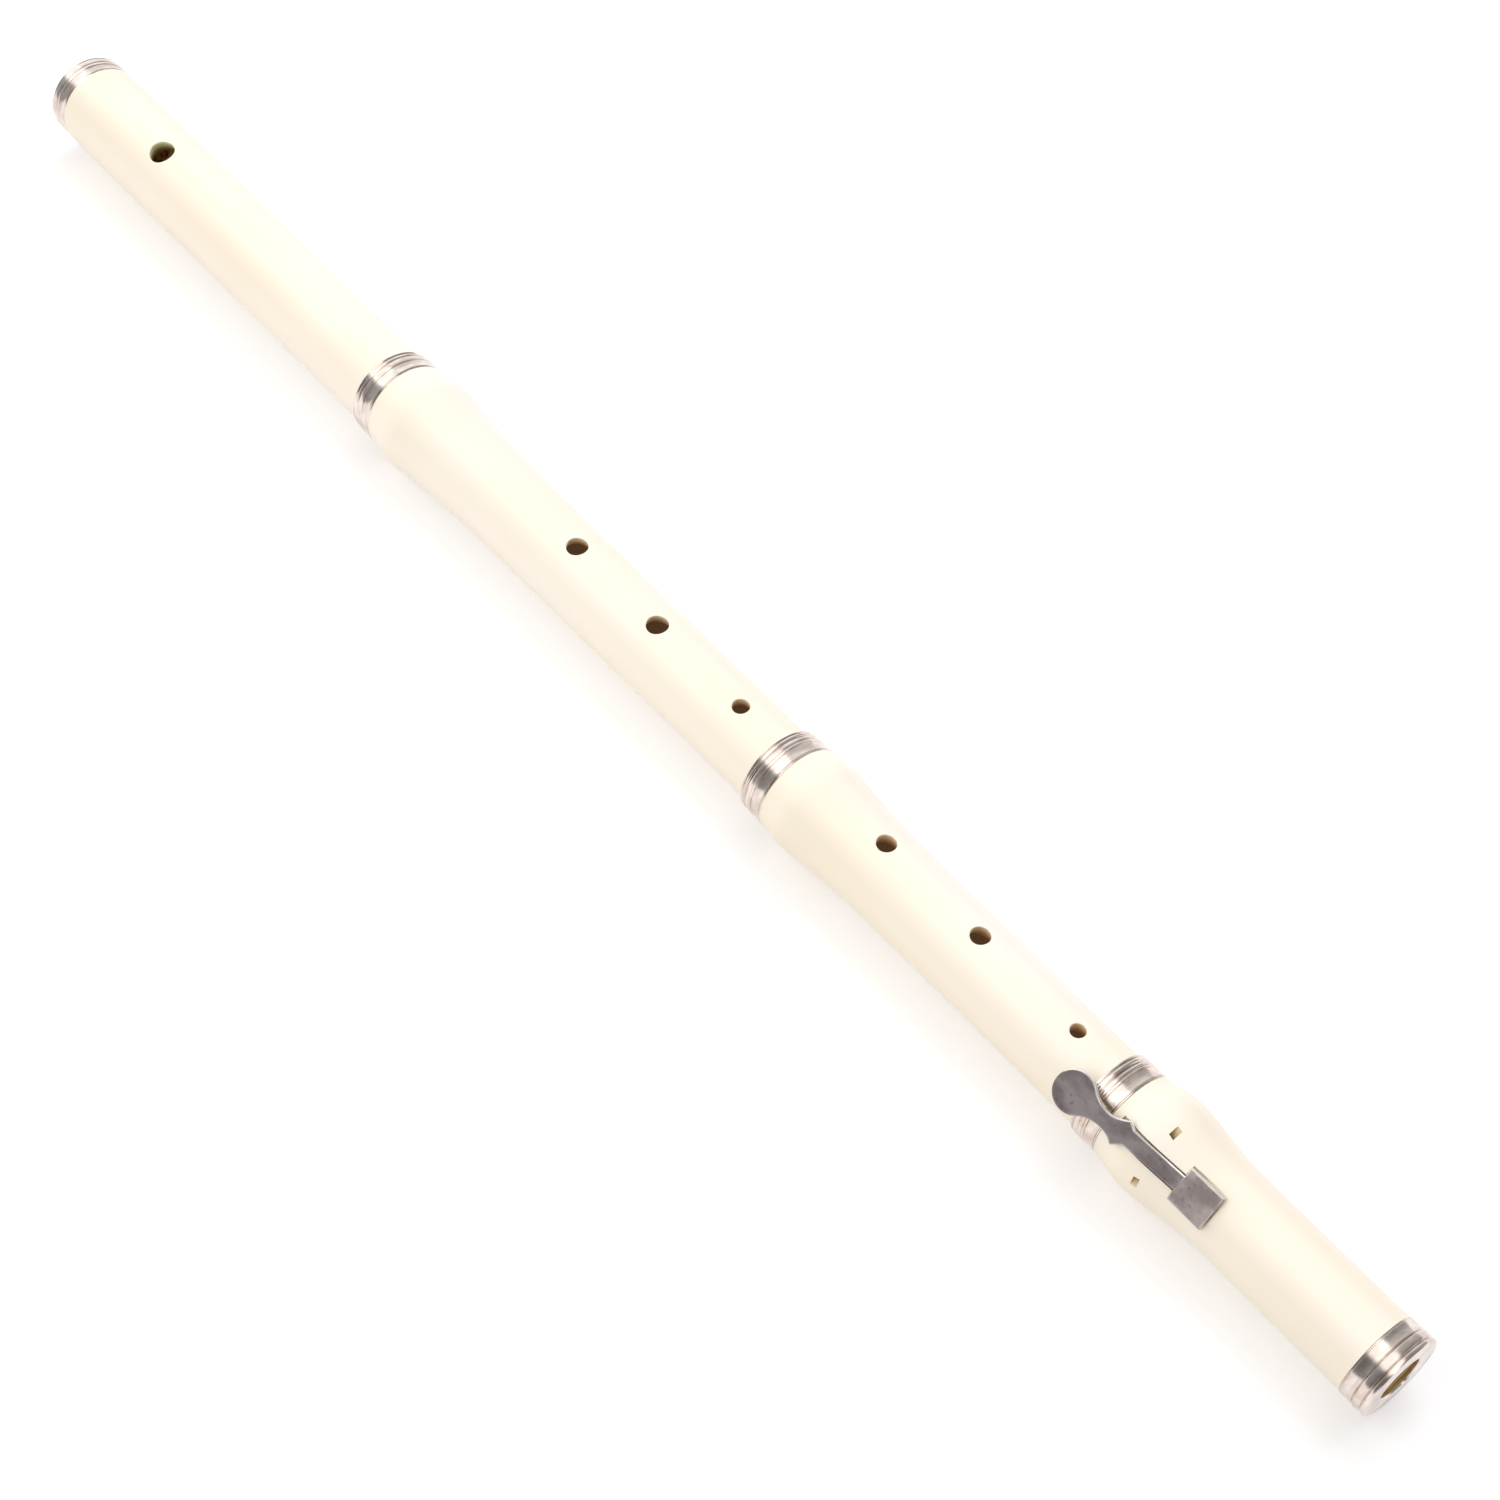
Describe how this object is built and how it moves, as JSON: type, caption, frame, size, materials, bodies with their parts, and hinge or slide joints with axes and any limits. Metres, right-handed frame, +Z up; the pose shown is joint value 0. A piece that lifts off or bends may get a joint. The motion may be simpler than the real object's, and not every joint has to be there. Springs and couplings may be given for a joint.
{
  "type": "baroque flute",
  "caption": "Baroque flute whose joints pull apart, with turned bulbs at the sockets, metal rings, a mouth hole, finger holes and a sprung lever key on the foot.",
  "frame": {"origin": "middle of the underside of the flute's box, level with the bottom of the largest bulb", "axes": "+X along the flute from the head end to the foot's open end, +Z up out of the finger holes"},
  "size_m": [0.6, 0.033, 0.0329],
  "materials": {
    "ivory": "satin ivory-coloured moulded plastic",
    "ring_metal": "turned and polished silvery metal",
    "key_metal": "dull grey lightly brushed metal with bright bevels",
    "spring_brass": "plain drawn",
    "cork": "cut cork",
    "lapping": "waxed thread, wound",
    "pad_leather": "soft kid leather"
  },
  "bodies": {
    "upper_joint": {"upper_body_tube": "ivory", "upper_body_ring": "ring_metal"},
    "head_lap": {"head_tenon_lapping": "lapping"},
    "head_joint": {"head_tube": "ivory", "head_end_ring": "ring_metal"},
    "cap": {"end_cap": "ivory"},
    "stopper": {"stopper_cork": "cork"},
    "upper_lap": {"upper_tenon_lapping": "lapping"},
    "lower_joint": {"lower_body_tube": "ivory", "lower_body_ring": "ring_metal"},
    "lower_lap": {"lower_tenon_lapping": "lapping"},
    "foot_joint": {"foot_tube": "ivory", "foot_socket_ring": "ring_metal", "foot_end_ring": "ring_metal", "key_pin": "spring_brass"},
    "key": {"key_lever": "key_metal", "key_pad": "pad_leather", "key_spring": "spring_brass", "spring_rivet": "spring_brass"}
  },
  "joints": [
    {"name": "head_slide", "type": "slide", "parent": "upper_joint", "child": "head_lap", "axis": [-1, 0, 0], "range_m": [0, 0.03]},
    {"name": "head_swivel", "type": "hinge", "parent": "head_lap", "child": "head_joint", "pos_m": [0, 0.00044, 0.01601], "axis": [1, 0, 0], "continuous": true},
    {"name": "end_cap_slide", "type": "slide", "parent": "head_joint", "child": "cap", "axis": [-1, 0, 0], "range_m": [0, 0.015]},
    {"name": "stopper_slide", "type": "slide", "parent": "head_joint", "child": "stopper", "axis": [1, 0, 0], "range_m": [-0.005, 0.005]},
    {"name": "lower_body_swivel", "type": "hinge", "parent": "upper_joint", "child": "upper_lap", "pos_m": [0, 0.00044, 0.01601], "axis": [1, 0, 0], "continuous": true},
    {"name": "lower_body_slide", "type": "slide", "parent": "upper_lap", "child": "lower_joint", "axis": [1, 0, 0], "range_m": [0, 0.028]},
    {"name": "foot_swivel", "type": "hinge", "parent": "lower_joint", "child": "lower_lap", "pos_m": [0, 0.00044, 0.01601], "axis": [1, 0, 0], "continuous": true},
    {"name": "foot_slide", "type": "slide", "parent": "lower_lap", "child": "foot_joint", "axis": [1, 0, 0], "range_m": [0, 0.025]},
    {"name": "key_pivot", "type": "hinge", "parent": "foot_joint", "child": "key", "pos_m": [0.224, -0.00738, 0.02485], "axis": [0, -0.749, -0.6626], "range_deg": [0, 4.5], "stiffness_Nm_per_rad": 0.08, "springref_deg": -7.16, "deforming": ["key_spring"]}
  ]
}
